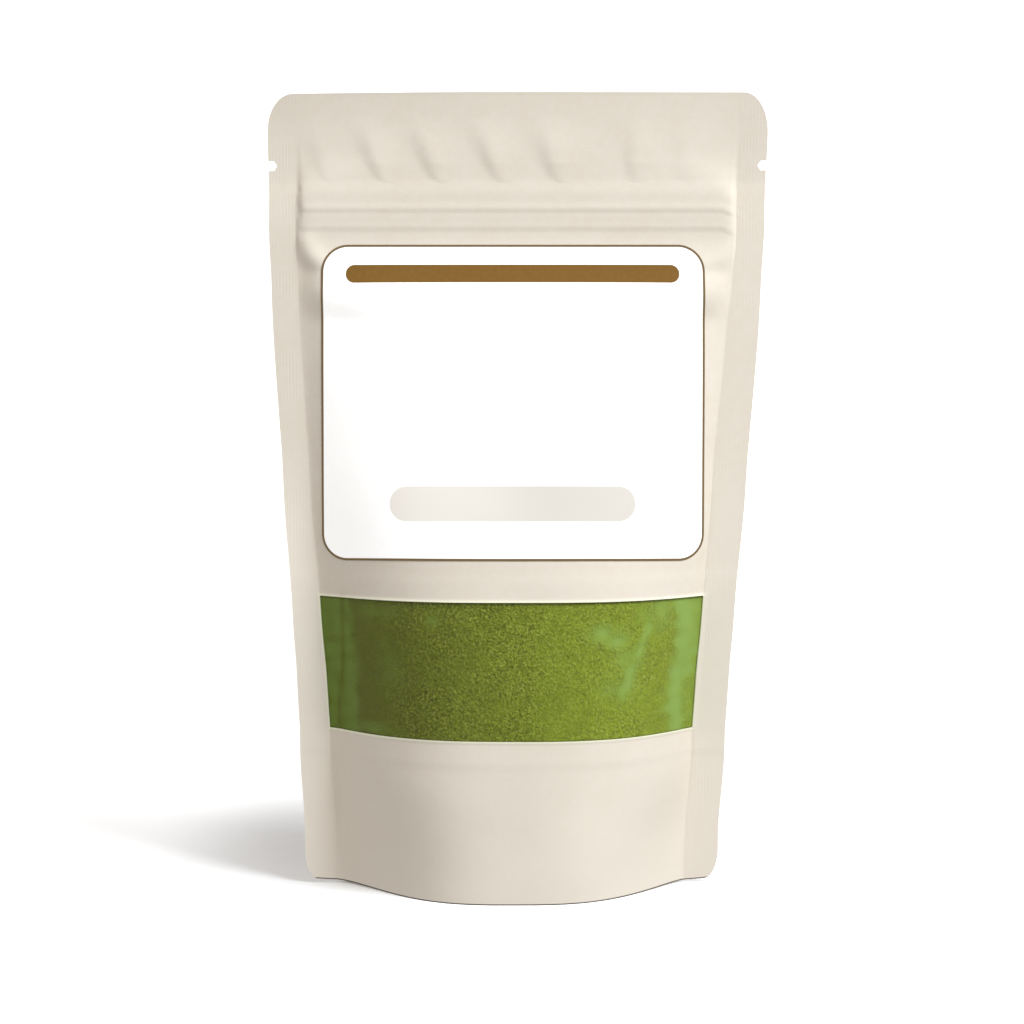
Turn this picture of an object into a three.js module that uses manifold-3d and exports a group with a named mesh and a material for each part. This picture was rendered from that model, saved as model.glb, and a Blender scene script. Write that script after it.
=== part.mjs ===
// A filled stand-up pouch of green powder: paper facings with a clear window strip between
// them, a blank label, a press-to-close zip, a folded bottom and the powder inside.
// Millimetres, +Z up, the front faces -Y, and the origin is under the middle of the base.

import * as THREE from 'three';
import Module from 'manifold-3d';
import { mergeVertices } from 'three/addons/utils/BufferGeometryUtils.js';

const wasm = await Module();
wasm.setup();

// Driving dimensions of the pouch as it is made, and of the pouch as it stands filled
const FLAT_WIDTH = 130;
const HEIGHT = 207;
const SIDE_SEAL = 8;
const TOP_SEAL = 9;
const BASE_HALF_DEPTH = 27.4;
const GUSSET_RISE = 35;

// Sheet thicknesses, and the gap that every two pieces keep between them
const GAP = 0.3;
const PAPER = 0.3;
const FILM = 0.2;
const LABEL_SHEET = 0.2;
const GUSSET_SHEET = 0.35;

// Heights on the standing pouch
const ZIP_BOTTOM = 170;
const ZIP_TOP = 181.5;
const HEADER_TOP = HEIGHT - TOP_SEAL;
const WINDOW_BOTTOM = 41;
const WINDOW_TOP = 75.5;
const FILM_LAP = 6;
const POWDER_TOP = 150;

// The flat hollow between the zip's two walls
const ZIP_HALF_DEPTH = 1.6;
const RIB_HEIGHTS = [173.5, 177];
const RIDGE_HALF_WIDTHS = [2.1, 1.1];
const RIDGE_RELIEF = 0.45;
const ZIP_HALF_LENGTH = 51;

// Corners of the sealed edges and the tear notches
const TOP_CORNER = { width: 5.2, height: 7.5 };
const BOTTOM_CORNER = { width: 2.4, height: 6 };
const CORNER_LIFT = 1.2;
const LIFT_FADE = 20;
const NOTCH = { height: 2.6, depth: 2.3, point: 0.8, below_top: 19 };

// The label, a rectangle as seen from the front, with round corners
const LABEL = { half_width: 48.8, bottom: 84.6, top: 167, radius: 7, bow: 1.3 };

const CREAM = 0xe8e0d2;
const WHITE = 0xfcfcfa;
const CLEAR = 0xeef2e6;
const GREEN = 0x7a8a35;

const clamp = (value, low = 0, high = 1) => Math.min(high, Math.max(low, value));

const smooth = (value) => {
  const v = clamp(value);
  return v * v * (3 - 2 * v);
};

const mix = (from, to, share) => from + (to - from) * share;

// Shape of the filled pouch

// Half of the hollow's depth on the middle line. It swells from the zip down to the base.
function crown(z) {
  if (z >= ZIP_BOTTOM) {
    const header = HEADER_TOP - ZIP_TOP;
    return ZIP_HALF_DEPTH * smooth((HEADER_TOP - z) / (0.6 * header));
  }
  const down = clamp((ZIP_BOTTOM - z) / ZIP_BOTTOM);
  const swell = (1 - (1 - down) ** 1.66) ** 0.78;
  return mix(ZIP_HALF_DEPTH, BASE_HALF_DEPTH, swell);
}

// How box-like a level cut through the pouch is: rounded below, and flat along the zip
function squareness(z) {
  return 3 + 9 * smooth((z - 147) / 21) + 28 * smooth((z - 166) / 4);
}

// How softly a level cut runs out into the side seals
function softness(z) {
  const window = Math.cos((Math.PI / 2) * clamp((z - 38) / 50, -1, 1)) ** 2;
  return 1.5 - 0.45 * window - 0.5 * smooth((z - 160) / 10);
}

function levelCut(share, z) {
  return crown(z) * (1 - share ** squareness(z)) ** softness(z);
}

// The half-width of the hollow at a height, where the curved wall is as long as the flat one
function solveHalfWidth(z) {
  const wall = FLAT_WIDTH / 2 - SIDE_SEAL;
  const steps = 100;
  let narrow = wall / 2;
  let wide = wall;
  for (let round = 0; round < 30; round += 1) {
    const middle = (narrow + wide) / 2;
    let length = 0;
    for (let i = 0; i < steps; i += 1) {
      const rise = levelCut((i + 1) / steps, z) - levelCut(i / steps, z);
      length += Math.hypot(middle / steps, rise);
    }
    if (length > wall) wide = middle;
    else narrow = middle;
  }
  return narrow;
}

const HALF_WIDTHS = Array.from({ length: HEIGHT + 2 }, (_, z) => solveHalfWidth(z));

function hollowHalfWidth(z) {
  const level = clamp(z, 0, HEIGHT);
  const below = Math.floor(level);
  return mix(HALF_WIDTHS[below], HALF_WIDTHS[below + 1], level - below);
}

// The zip shows through the wall as two ridges that fade out before the side seals
function zipRelief(x, z) {
  const fade = smooth((ZIP_HALF_LENGTH + 1 - Math.abs(x)) / 3);
  let relief = 0;
  RIB_HEIGHTS.forEach((height, i) => {
    const shoulder = 0.6;
    relief += smooth((RIDGE_HALF_WIDTHS[i] - Math.abs(z - height)) / shoulder);
  });
  return RIDGE_RELIEF * relief * fade;
}

// Half of the distance between the front wall's and the back wall's inner faces
function halfDepth(x, z) {
  const share = Math.abs(x) / hollowHalfWidth(z);
  const hollow = share < 1 ? levelCut(share, z) + zipRelief(x, z) : 0;
  return GAP / 2 + hollow;
}

// A point at a distance outside a wall's inner face. The side is -1 in front and 1 behind.
function wallPoint(x, z, offset, side) {
  const step = 0.4;
  const slopeX = (halfDepth(x + step, z) - halfDepth(x - step, z)) / (2 * step);
  const slopeZ = (halfDepth(x, z + step) - halfDepth(x, z - step)) / (2 * step);
  const outward = new THREE.Vector3(-slopeX, side, -slopeZ).normalize();
  return new THREE.Vector3(x, side * halfDepth(x, z), z).addScaledVector(outward, offset);
}

// The ends of the bottom edge stand a little off the floor
function footLift(x, z) {
  const share = clamp(Math.abs(x) / hollowHalfWidth(z));
  return CORNER_LIFT * share ** 6 * clamp(1 - z / LIFT_FADE);
}

function cornerInset(z) {
  const up = clamp((z - (HEIGHT - TOP_CORNER.height)) / TOP_CORNER.height);
  const down = clamp((BOTTOM_CORNER.height - z) / BOTTOM_CORNER.height);
  const top = TOP_CORNER.width * (1 - Math.sqrt(1 - up * up));
  const bottom = BOTTOM_CORNER.width * (1 - Math.sqrt(1 - down * down));
  return top + bottom;
}

// Closed solids

function signedVolume(points, index) {
  let volume = 0;
  for (let i = 0; i < index.length; i += 3) {
    const [a, b, c] = [points[index[i]], points[index[i + 1]], points[index[i + 2]]];
    volume += a.dot(b.clone().cross(c)) / 6;
  }
  return volume;
}

// A closed solid through sections with the same number of points. In each section the second
// half of the points faces the first half in reverse, which closes the ends, and both halves
// are split into triangles alike.
function loft(sections) {
  const count = sections[0].length;
  const half = count / 2;
  const last = sections.length - 1;
  const at = (section, k) => section * count + (k % count);
  const index = [];
  const addQuad = (a, b, c, d) => index.push(a, b, c, a, c, d);

  for (let s = 0; s < last; s += 1) {
    for (let k = 0; k < count; k += 1) {
      const quad = [at(s, k), at(s, k + 1), at(s + 1, k + 1), at(s + 1, k)];
      if (k < half) addQuad(quad[0], quad[1], quad[2], quad[3]);
      else addQuad(quad[1], quad[2], quad[3], quad[0]);
    }
  }
  for (let k = 0; k < half - 1; k += 1) {
    const pair = count - 1 - k;
    addQuad(at(0, k), at(0, pair), at(0, pair - 1), at(0, k + 1));
    addQuad(at(last, k), at(last, k + 1), at(last, pair - 1), at(last, pair));
  }

  const points = sections.flat();
  if (signedVolume(points, index) < 0) index.reverse();
  const geometry = new THREE.BufferGeometry();
  geometry.setFromPoints(points);
  geometry.setIndex(index);
  return geometry;
}

function toManifold(geometry) {
  const plain = geometry.clone();
  plain.deleteAttribute('normal');
  plain.deleteAttribute('uv');
  const merged = mergeVertices(plain, 1e-4);
  return new wasm.Manifold(new wasm.Mesh({
    numProp: 3,
    vertProperties: new Float32Array(merged.attributes.position.array),
    triVerts: new Uint32Array(merged.index.array),
  }));
}

function toGeometry(solid) {
  const mesh = solid.getMesh();
  const geometry = new THREE.BufferGeometry();
  geometry.setAttribute('position', new THREE.BufferAttribute(mesh.vertProperties, 3));
  geometry.setIndex(new THREE.BufferAttribute(mesh.triVerts, 1));
  return geometry;
}

function mirrored(values) {
  const positive = values.filter((value) => value > 0);
  return [...positive.map((value) => -value).reverse(), ...values.filter((v) => v === 0), ...positive];
}

// Walls

// Columns as shares of the hollow's half-width up to 1, and of the side seal from 1 to 2
const WALL_COLUMNS = mirrored([0, 0.15, 0.3, 0.43, 0.55, 0.65, 0.74, 0.82, 0.89, 0.95, 1, 2]);

const BOTTOM_ROWS = [0, 2, 6, 13, 21, 29, 33.5];
const LAP_BOTTOM = WINDOW_BOTTOM - FILM_LAP;
const WINDOW_ROWS = [WINDOW_BOTTOM, 52, 64, WINDOW_TOP];
const LAP_TOP = WINDOW_TOP + FILM_LAP;
const UPPER_ROWS = [83, 93, 103, 114, 125, 135, 144, 152, 159, 165];
const ZIP_ROWS = [ZIP_BOTTOM, 171.4, 172.2, 174.9, 175.9, 176.6, 177.4, 178.1, ZIP_TOP];
const HEADER_ROWS = [188, 193, HEADER_TOP, 199.5, 202.5, 205, 206.4, HEIGHT];

function columnX(column, z) {
  const hollow = hollowHalfWidth(z);
  const share = Math.abs(column);
  if (share <= 1) return column * hollow;
  return Math.sign(column) * (hollow + (share - 1) * (SIDE_SEAL - cornerInset(z)));
}

// A sheet along a wall, from seal to seal, between two distances from the wall's inner face
function wallSheet(rows, side, inner, outer) {
  return loft(WALL_COLUMNS.map((column) => {
    const place = (z, offset) => {
      const x = columnX(column, z);
      return wallPoint(x, z + footLift(x, z), offset, side);
    };
    const outside = rows.map((z) => place(z, outer(z)));
    const inside = rows.map((z) => place(z, inner(z)));
    return [...outside, ...inside.reverse()];
  }));
}

// The film lies behind the facings along its two laps, and lifts them there
function lapLift(z) {
  const ramp = 1.5;
  const below = clamp((z - LAP_BOTTOM + ramp) / ramp);
  const above = clamp((LAP_TOP + ramp - z) / ramp);
  return (FILM + GAP) * Math.min(below, above);
}

function frontFacing(rows) {
  return wallSheet(rows, -1, lapLift, (z) => lapLift(z) + PAPER);
}

// A tear notch that is cut into one side seal, with straight sides and a pointed inner end
function notchCutter(side) {
  const edge = FLAT_WIDTH / 2;
  const reach = 3;
  const thickness = 4;
  const outline = new THREE.Shape();
  outline.moveTo(edge + reach, -NOTCH.height / 2);
  outline.lineTo(edge + reach, NOTCH.height / 2);
  outline.lineTo(edge - NOTCH.depth + NOTCH.point, NOTCH.height / 2);
  outline.lineTo(edge - NOTCH.depth, 0);
  outline.lineTo(edge - NOTCH.depth + NOTCH.point, -NOTCH.height / 2);
  const cutter = new THREE.ExtrudeGeometry(outline, { depth: thickness, bevelEnabled: false });
  cutter.translate(0, 0, -thickness / 2);
  cutter.rotateX(Math.PI / 2);
  if (side < 0) cutter.rotateZ(Math.PI);
  cutter.translate(0, 0, HEIGHT - NOTCH.below_top);
  return toManifold(cutter);
}

function withNotches(geometry) {
  return toGeometry(toManifold(geometry).subtract(notchCutter(-1)).subtract(notchCutter(1)));
}

function frontPaperUpper() {
  return withNotches(frontFacing([WINDOW_TOP, LAP_TOP, ...UPPER_ROWS, ...ZIP_ROWS, ...HEADER_ROWS]));
}

function frontPaperLower() {
  return frontFacing([...BOTTOM_ROWS, LAP_BOTTOM, WINDOW_BOTTOM]);
}

function windowFilm() {
  return wallSheet([LAP_BOTTOM, ...WINDOW_ROWS, LAP_TOP], -1, () => 0, () => FILM);
}

function backPanel() {
  const rows = [...BOTTOM_ROWS, ...WINDOW_ROWS, ...UPPER_ROWS, ...ZIP_ROWS, ...HEADER_ROWS];
  return withNotches(wallSheet(rows, 1, () => 0, () => PAPER));
}

// Folded bottom

// The height at which the folded bottom leaves the walls, along the hollow's half-width
function gussetSealHeight(share) {
  const middle = 5;
  return middle + (GUSSET_RISE - middle) * (1 - Math.sqrt(1 - share * share));
}

// The folded bottom's height between the front wall (-1) and the back wall (1). It lies flat
// on the floor in the middle, and rises to the side seals in a fold.
function gussetFloor(share, across) {
  const flat = 0.65;
  const fold = smooth((Math.abs(share) - 0.5) / 0.5);
  const rim = clamp((Math.abs(across) - flat) / (1 - flat)) ** 1.6;
  return gussetSealHeight(Math.abs(share)) * mix(fold, 1, rim);
}

function bottomGusset() {
  const columns = mirrored([0, 0.25, 0.4, 0.5, 0.57, 0.64, 0.71, 0.78, 0.84, 0.9, 0.95]);
  const skirtShares = [0, 0.35, 0.7];
  const acrossShares = mirrored([0.25, 0.65, 0.78, 0.86, 0.93]);
  const outer = -GAP;
  const inner = -(GAP + GUSSET_SHEET);

  return loft(columns.map((share) => {
    const top = gussetSealHeight(Math.abs(share));
    const foot = GAP;
    const skirt = (offset, side, height) => {
      const x = share * hollowHalfWidth(height);
      return wallPoint(x, height + footLift(x, height), offset, side);
    };
    const x = share * hollowHalfWidth(top);
    const reach = halfDepth(x, top) - GAP - GUSSET_SHEET;
    const pan = (across, above) => (
      new THREE.Vector3(x, across * reach, gussetFloor(share, across) + above)
    );
    const upperPath = (side) => [
      ...skirtShares.map((v) => skirt(outer, side, mix(foot, top, v))),
      skirt(outer, side, top + GUSSET_SHEET),
    ];
    const lowerPath = (side) => [
      ...skirtShares.map((v) => skirt(inner, side, mix(foot, top, v))),
      skirt(inner, side, top - GUSSET_SHEET),
    ];
    const upper = [
      ...upperPath(-1),
      ...acrossShares.map((across) => pan(across, GUSSET_SHEET)),
      ...upperPath(1).reverse(),
    ];
    const lower = [
      ...lowerPath(-1),
      ...acrossShares.map((across) => pan(across, 0)),
      ...lowerPath(1).reverse(),
    ];
    return [...upper, ...lower.reverse()];
  }));
}

// Powder

// The powder fills the hollow above the folded bottom, up to a low mound under the zip
function powderFill() {
  const inset = 3 * GAP;
  const columns = mirrored([0, 0.15, 0.3, 0.44, 0.56, 0.67, 0.77, 0.86, 0.93, 1]);
  const wallShares = [0, 0.12, 0.26, 0.42, 0.58, 0.74, 0.88, 1];
  const across = [0.2, 0.5, 0.75];
  const moundDrop = 9;

  return loft(columns.map((column) => {
    const share = (z) => column * (0.96 - 0.08 * (z / POWDER_TOP) ** 2);
    const top = POWDER_TOP - moundDrop * column * column;
    const rim = gussetSealHeight(Math.abs(share(0))) + GUSSET_SHEET + inset;
    const wall = (z) => {
      const x = share(z) * hollowHalfWidth(z);
      return new THREE.Vector3(x, -Math.max(halfDepth(x, z) - inset, GAP), z);
    };
    const rimPoint = wall(rim);
    const rimShare = share(rim);
    const topPoint = wall(top);
    const under = across.map((w) => new THREE.Vector3(
      rimPoint.x,
      w * rimPoint.y,
      gussetFloor(rimShare, w) + GUSSET_SHEET + inset,
    ));
    const over = [...across].reverse().map((w) => new THREE.Vector3(
      topPoint.x,
      w * topPoint.y,
      top + 2 * (1 - w * w),
    ));
    const front = [
      ...under,
      ...wallShares.map((v) => wall(mix(rim, top, v))),
      ...over,
    ];
    const back = front.map((point) => new THREE.Vector3(point.x, -point.y, point.z));
    return [...front, ...back.reverse()];
  }));
}

// Zip

const FLANGE = { bottom: 170.6, top: 180.9, thickness: 0.3 };
const FLANGE_FACE = ZIP_HALF_DEPTH + GAP / 2 - GAP - FLANGE.thickness;

// A track along the whole zip, from the depth and height of each point of its end
function zipTrack(points) {
  const end = new THREE.Shape(points.map(([depth, height]) => new THREE.Vector2(height, depth)));
  const track = new THREE.ExtrudeGeometry(end, { depth: 2 * ZIP_HALF_LENGTH, bevelEnabled: false });
  track.translate(0, 0, -ZIP_HALF_LENGTH);
  track.rotateY(-Math.PI / 2);
  return track;
}

// A flat strip with two ribs, each a narrow stem with an arrow-shaped head
function ribbedTrack() {
  const stem = 0.2;
  const head = 0.75;
  const neck = 0.05;
  const tip = 0.6;
  const face = -FLANGE_FACE;
  const points = [[face - FLANGE.thickness, FLANGE.bottom], [face, FLANGE.bottom]];
  for (const height of RIB_HEIGHTS) {
    points.push(
      [face, height - stem],
      [neck, height - stem],
      [neck, height - head],
      [tip, height - stem],
      [tip, height + stem],
      [neck, height + head],
      [neck, height + stem],
      [face, height + stem],
    );
  }
  points.push([face, FLANGE.top], [face - FLANGE.thickness, FLANGE.top]);
  return zipTrack(points);
}

// A flat strip with two channels, each of two jaws with lips that hold a rib's head
function channelledTrack() {
  const room = 1.05;
  const jaw = 0.35;
  const lip = 0.5;
  const mouth = -0.6;
  const lipDepth = 0.35;
  const face = FLANGE_FACE;
  const points = [[face + FLANGE.thickness, FLANGE.bottom], [face, FLANGE.bottom]];
  for (const height of RIB_HEIGHTS) {
    points.push(
      [face, height - room - jaw],
      [mouth, height - room - jaw],
      [mouth, height - lip],
      [mouth + lipDepth, height - lip],
      [mouth + lipDepth, height - room],
      [face, height - room],
      [face, height + room],
      [mouth + lipDepth, height + room],
      [mouth + lipDepth, height + lip],
      [mouth, height + lip],
      [mouth, height + room + jaw],
      [face, height + room + jaw],
    );
  }
  points.push([face, FLANGE.top], [face + FLANGE.thickness, FLANGE.top]);
  return zipTrack(points);
}

// Label

function labelSheet() {
  const straight = LABEL.half_width - LABEL.radius;
  const turns = [0, 20, 45, 70, 90];
  const flat = [0, 0.17, 0.34, 0.5, 0.66, 0.83].map((share) => share * straight);
  const bends = turns.map((turn) => straight + LABEL.radius * Math.sin(THREE.MathUtils.degToRad(turn)));
  const rows = [0, 0.1, 0.22, 0.36, 0.49, 0.61, 0.72, 0.81, 0.88, 0.94, 1];
  const outset = PAPER + GAP;

  return loft(mirrored([...flat, ...bends]).map((x) => {
    const into = clamp((Math.abs(x) - straight) / LABEL.radius);
    const trim = LABEL.radius * (1 - Math.sqrt(1 - into * into));
    const middle = levelCut(Math.abs(x) / hollowHalfWidth(LABEL.bottom), LABEL.bottom);
    const bottom = LABEL.bottom + trim + (LABEL.bow * middle) / crown(LABEL.bottom);
    const top = LABEL.top - trim;
    const face = (offset) => rows.map((v) => wallPoint(x, mix(bottom, top, v), offset, -1));
    return [...face(outset + LABEL_SHEET), ...face(outset).reverse()];
  }));
}

// Assembly

function paint(color, roughness, opacity = 1) {
  return new THREE.MeshStandardMaterial({
    color, roughness, metalness: 0, opacity, transparent: opacity < 1,
  });
}

const pouch = new THREE.Group();

function add(name, geometry, material) {
  const mesh = new THREE.Mesh(geometry, material);
  mesh.name = name;
  pouch.add(mesh);
}

const paper = paint(CREAM, 0.85);
const label = paint(WHITE, 0.4);
const film = paint(CLEAR, 0.15, 0.3);
const powder = paint(GREEN, 0.95);

add('front_paper_upper', frontPaperUpper(), paper);
add('front_paper_lower', frontPaperLower(), paper);
add('window_film', windowFilm(), film);
add('back_panel', backPanel(), paper);
add('bottom_gusset', bottomGusset(), paper);
add('zip_track_front', ribbedTrack(), film);
add('zip_track_back', channelledTrack(), film);
add('label', labelSheet(), label);
add('powder_fill', powderFill(), powder);

export default pouch;
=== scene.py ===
"""Looks of a filled stand-up pouch of green powder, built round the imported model.

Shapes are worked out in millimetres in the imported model's frame, and turned into metres when a
mesh is made. The front faces -Y. A wall's depth is its distance from the pouch's middle plane.
"""

import math

import bpy
import numpy as np
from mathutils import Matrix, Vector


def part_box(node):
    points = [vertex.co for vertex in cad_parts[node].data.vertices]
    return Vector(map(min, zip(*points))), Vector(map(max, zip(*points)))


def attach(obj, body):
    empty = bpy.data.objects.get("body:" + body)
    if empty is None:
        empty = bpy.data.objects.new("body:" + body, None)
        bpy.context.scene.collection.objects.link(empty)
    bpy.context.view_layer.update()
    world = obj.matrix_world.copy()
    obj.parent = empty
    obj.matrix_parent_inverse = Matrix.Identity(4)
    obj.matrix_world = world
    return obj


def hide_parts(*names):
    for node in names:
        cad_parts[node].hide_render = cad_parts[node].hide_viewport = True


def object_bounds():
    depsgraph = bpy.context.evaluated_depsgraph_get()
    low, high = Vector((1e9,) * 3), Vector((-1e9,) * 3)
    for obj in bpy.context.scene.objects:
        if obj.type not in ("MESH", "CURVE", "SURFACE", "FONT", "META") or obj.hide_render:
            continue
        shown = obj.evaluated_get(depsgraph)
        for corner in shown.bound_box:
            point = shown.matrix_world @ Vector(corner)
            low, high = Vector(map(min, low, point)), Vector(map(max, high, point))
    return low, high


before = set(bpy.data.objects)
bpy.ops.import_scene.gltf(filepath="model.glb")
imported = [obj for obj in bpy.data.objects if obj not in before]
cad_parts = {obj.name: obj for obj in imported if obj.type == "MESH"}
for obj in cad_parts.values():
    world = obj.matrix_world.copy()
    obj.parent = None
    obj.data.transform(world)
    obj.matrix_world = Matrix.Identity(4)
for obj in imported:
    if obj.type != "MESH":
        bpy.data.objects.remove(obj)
cad_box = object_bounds()

MM = 0.001


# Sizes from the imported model


def node_box(node):
    """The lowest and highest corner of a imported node, in millimetres."""
    low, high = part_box(node)
    return low / MM, high / MM


HEIGHT = cad_box[1].z / MM
HALF_DEPTH = cad_box[1].y / MM
FLAT_HALF_WIDTH = 65.0
# How far the window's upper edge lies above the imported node's
WINDOW_RAISE = 0.35
WINDOW_BOTTOM = node_box("front_paper_lower")[1].z
WINDOW_TOP = node_box("front_paper_upper")[0].z + WINDOW_RAISE
FILM_BOTTOM = node_box("window_film")[0].z
FILM_TOP = node_box("window_film")[1].z
LABEL_BOTTOM = node_box("label")[0].z
LABEL_TOP = node_box("label")[1].z
TRACK_BOTTOM = node_box("zip_track_front")[0].z
TRACK_TOP = node_box("zip_track_front")[1].z
TRACK_HALF_LENGTH = node_box("zip_track_front")[1].x

# The pouch's other driving sizes

SIDE_SEAL = 8.0
TOP_SEAL = 9.0
HEADER_TOP = HEIGHT - TOP_SEAL
ZIP_BOTTOM = 170.0
ZIP_TOP = 183.3
ZIP_HALF_DEPTH = 1.3
RIB_HEIGHTS = [173.5, 177.0]
BASE_SWELL = 0.1
BASE_HALF_DEPTH = HALF_DEPTH + BASE_SWELL
GUSSET_RISE = 35.0
POWDER_TOP = 150.0
SEAL_HALF_GAP = 0.04
PAPER = 0.16
CUT_EDGE = 0.3
FILM = 0.08
LABEL_SHEET = 0.1
CLEARANCE = 0.02

# The side seals' widths at rising heights, on the left and on the right
SEAL_WIDTHS = {
    -1: [(20, 8.1), (42, 7.9), (78, 7.4), (110, 7.0), (165, 7.0), (180, 7.2)],
    1: [(42, 8.8), (80, 8.6), (110, 8.9), (142, 8.4), (166, 7.3), (180, 7.4)],
}

# How softly the wall runs out into each side seal, over most of its height and at its foot
EDGE_SOFTNESS = {-1: 1.3, 1: 1.12}
FOOT_SOFTNESS = {-1: 1.85, 1: 1.5}
FOOT_TOP = 32.0
FOOT_FADE = 30.0
# The height of the fold beside the label's top, where the edge is softer again
FOLD_Z = 163.0
FOLD_HEIGHT = 5.0

# Width and height of the round corners
TOP_CORNERS = {-1: (6.5, 9.2), 1: (6.4, 10.5)}
BOTTOM_CORNER = (3.4, 8.0)
CORNER_LIFT = 1.5
LIFT_FADE = 20.0
# The paper's lowest edge, painted dark as a contact shadow where it meets the floor
CONTACT_SHADOW_EDGE = 0.3
NOTCH_Z = HEIGHT - 19.0
NOTCH_HALF_HEIGHT = 1.3
NOTCH_STRAIGHT = 1.45
NOTCH_TIP = 0.8

# How the standing pouch departs from an upright, mirror-like one
LEAN = 0.0075
LEAN_CENTRE = 103.0
CORNER_CURL = {-1: 4.5, 1: 0.8}
HEADER_TIP = 3.2
HEADER_DROP = 0.5
# How much each side seal bends forward, low down and high up
SEAL_BEND = {-1: (0.18, -0.04), 1: (0.02, 0.04)}

SHARP_ANGLE = math.radians(38)


# Small maths


def smooth(value):
    v = np.clip(value, 0.0, 1.0)
    return v * v * (3 - 2 * v)


def mix(start, end, share):
    return start + (end - start) * share


def through(points, value):
    """A smooth curve through points with rising first coordinates, flat at each of them."""
    total = np.full_like(value, points[0][1], dtype=float)
    for (left, low), (right, high) in zip(points, points[1:]):
        total = total + (high - low) * smooth((value - left) / (right - left))
    return total


def waves(x, z, wavelength, count, seed):
    """Soft random unevenness of about one unit, from waves in seeded directions."""
    draw = np.random.default_rng(seed)
    total = np.zeros_like(x * z)
    for _ in range(count):
        turn = draw.uniform(0, math.pi)
        phase = draw.uniform(0, 2 * math.pi)
        length = wavelength * draw.uniform(0.7, 1.5)
        along = x * math.cos(turn) + z * math.sin(turn)
        total = total + np.sin(2 * math.pi * along / length + phase)
    return total / math.sqrt(count)


def crease(x, z, start, end, height, width, fade=0.25):
    """A ridge along a straight line, or a valley if its height is negative, with soft ends."""
    run = np.array(end, float) - np.array(start, float)
    length = np.hypot(*run)
    along = ((x - start[0]) * run[0] + (z - start[1]) * run[1]) / length ** 2
    across = ((x - start[0]) * run[1] - (z - start[1]) * run[0]) / length
    ends = smooth(along / fade) * smooth((1 - along) / fade)
    return height * ends * np.exp(-((across / width) ** 2))


# Shape of the filled pouch


def crown(z):
    """Half of the hollow's depth on the middle line. It swells from the zip to the base."""
    soft_start = 22
    fullness, roundness = 1.66, 0.78
    header = ZIP_HALF_DEPTH * np.clip((HEIGHT - 1 - z) / (HEIGHT - 1 - ZIP_TOP), 0, 1)
    below = np.clip(ZIP_BOTTOM - z, 0, ZIP_BOTTOM)
    down = below * smooth(below / soft_start) / ZIP_BOTTOM
    swell = (1 - (1 - down) ** fullness) ** roundness
    return np.where(z >= ZIP_BOTTOM, header, mix(ZIP_HALF_DEPTH, BASE_HALF_DEPTH, swell))


def squareness(z):
    """How box-like a level cut is: round below, flat along the zip, softer in the header."""
    below = 3 + 8 * smooth((z - 147) / 14) + 39 * smooth((z - 160) / 8)
    return below * 0.1 ** smooth((z - ZIP_TOP + 5) / 14)


def softness(z):
    """How softly an ideal level cut runs out into the side seals."""
    window = np.cos((math.pi / 2) * np.clip((z - 38) / 50, -1, 1)) ** 2
    return 1.5 - 0.45 * window - 0.5 * smooth((z - 160) / 10)


def edge_softness(x, z):
    """How softly the wall really runs out: sharper on the right, softer at the foot and fold."""
    left = np.asarray(x) < 0
    side = np.where(left, EDGE_SOFTNESS[-1], EDGE_SOFTNESS[1])
    foot = np.where(left, FOOT_SOFTNESS[-1], FOOT_SOFTNESS[1])
    fold = np.where(left, 0.5, 0.1) * np.exp(-(((z - FOLD_Z) / FOLD_HEIGHT) ** 2))
    return mix(side, foot, smooth((FOOT_TOP - z) / FOOT_FADE)) + fold


def level_cut(share, z, soft):
    return crown(z) * (1 - np.clip(share, 0, 1) ** squareness(z)) ** soft


# The film and the folds draw the sides in or let them out a little: height and half-width change
WIDTH_TRIM = [
    (-10, -0.05), (12, 0.0), (33, 1.1), (43, 0.8), (62, 0.25), (80, -0.1), (97, 0.05),
    (115, -0.35), (145, -0.35), (153, -0.28), (160, -0.46), (172, -0.15), (184, -0.2), (195, 0.0),
]
EDGE_SMOOTHING = 4.0


def solve_outer_widths():
    """The pouch's half-width at each millimetre, where the curved wall keeps its flat length."""
    wall = FLAT_HALF_WIDTH - SIDE_SEAL
    margin = 20
    pieces = 100
    levels = np.arange(-margin, int(HEIGHT) + margin, dtype=float)
    shares = np.linspace(0, 1, pieces + 1)
    cuts = level_cut(shares[None, :], levels[:, None], softness(levels)[:, None])
    rises = np.diff(cuts, axis=1)
    narrow = np.full_like(levels, wall / 2)
    wide = np.full_like(levels, wall)
    for _ in range(30):
        middle = (narrow + wide) / 2
        length = np.hypot(middle[:, None] / pieces, rises).sum(axis=1)
        narrow = np.where(length > wall, narrow, middle)
        wide = np.where(length > wall, middle, wide)
    reach = 12
    near = np.arange(-reach, reach + 1)
    weights = np.exp(-((near / EDGE_SMOOTHING) ** 2) / 2)
    padded = np.pad(narrow, reach, mode="edge")
    smoothed = np.convolve(padded, weights / weights.sum(), mode="valid")
    return levels, smoothed + SIDE_SEAL + through(WIDTH_TRIM, levels)


LEVELS, OUTER_WIDTHS = solve_outer_widths()


def seal_width(x, z):
    return np.where(np.asarray(x) < 0, through(SEAL_WIDTHS[-1], z), through(SEAL_WIDTHS[1], z))


def hollow_half_width(x, z):
    """The distance from the middle to the side seal on x's side."""
    return np.interp(z, LEVELS, OUTER_WIDTHS) - seal_width(x, z)


def corner_inset(column, z):
    """How far the rounded corners draw the outer edge in."""
    inset = 0
    for side, (width, height) in TOP_CORNERS.items():
        up = np.clip((z - (HEIGHT - height)) / height, 0, 1)
        inset = inset + (column * side > 0) * width * (1 - np.sqrt(1 - up * up))
    down = np.clip((BOTTOM_CORNER[1] - z) / BOTTOM_CORNER[1], 0, 1)
    return inset + BOTTOM_CORNER[0] * (1 - np.sqrt(1 - down * down))


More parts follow.
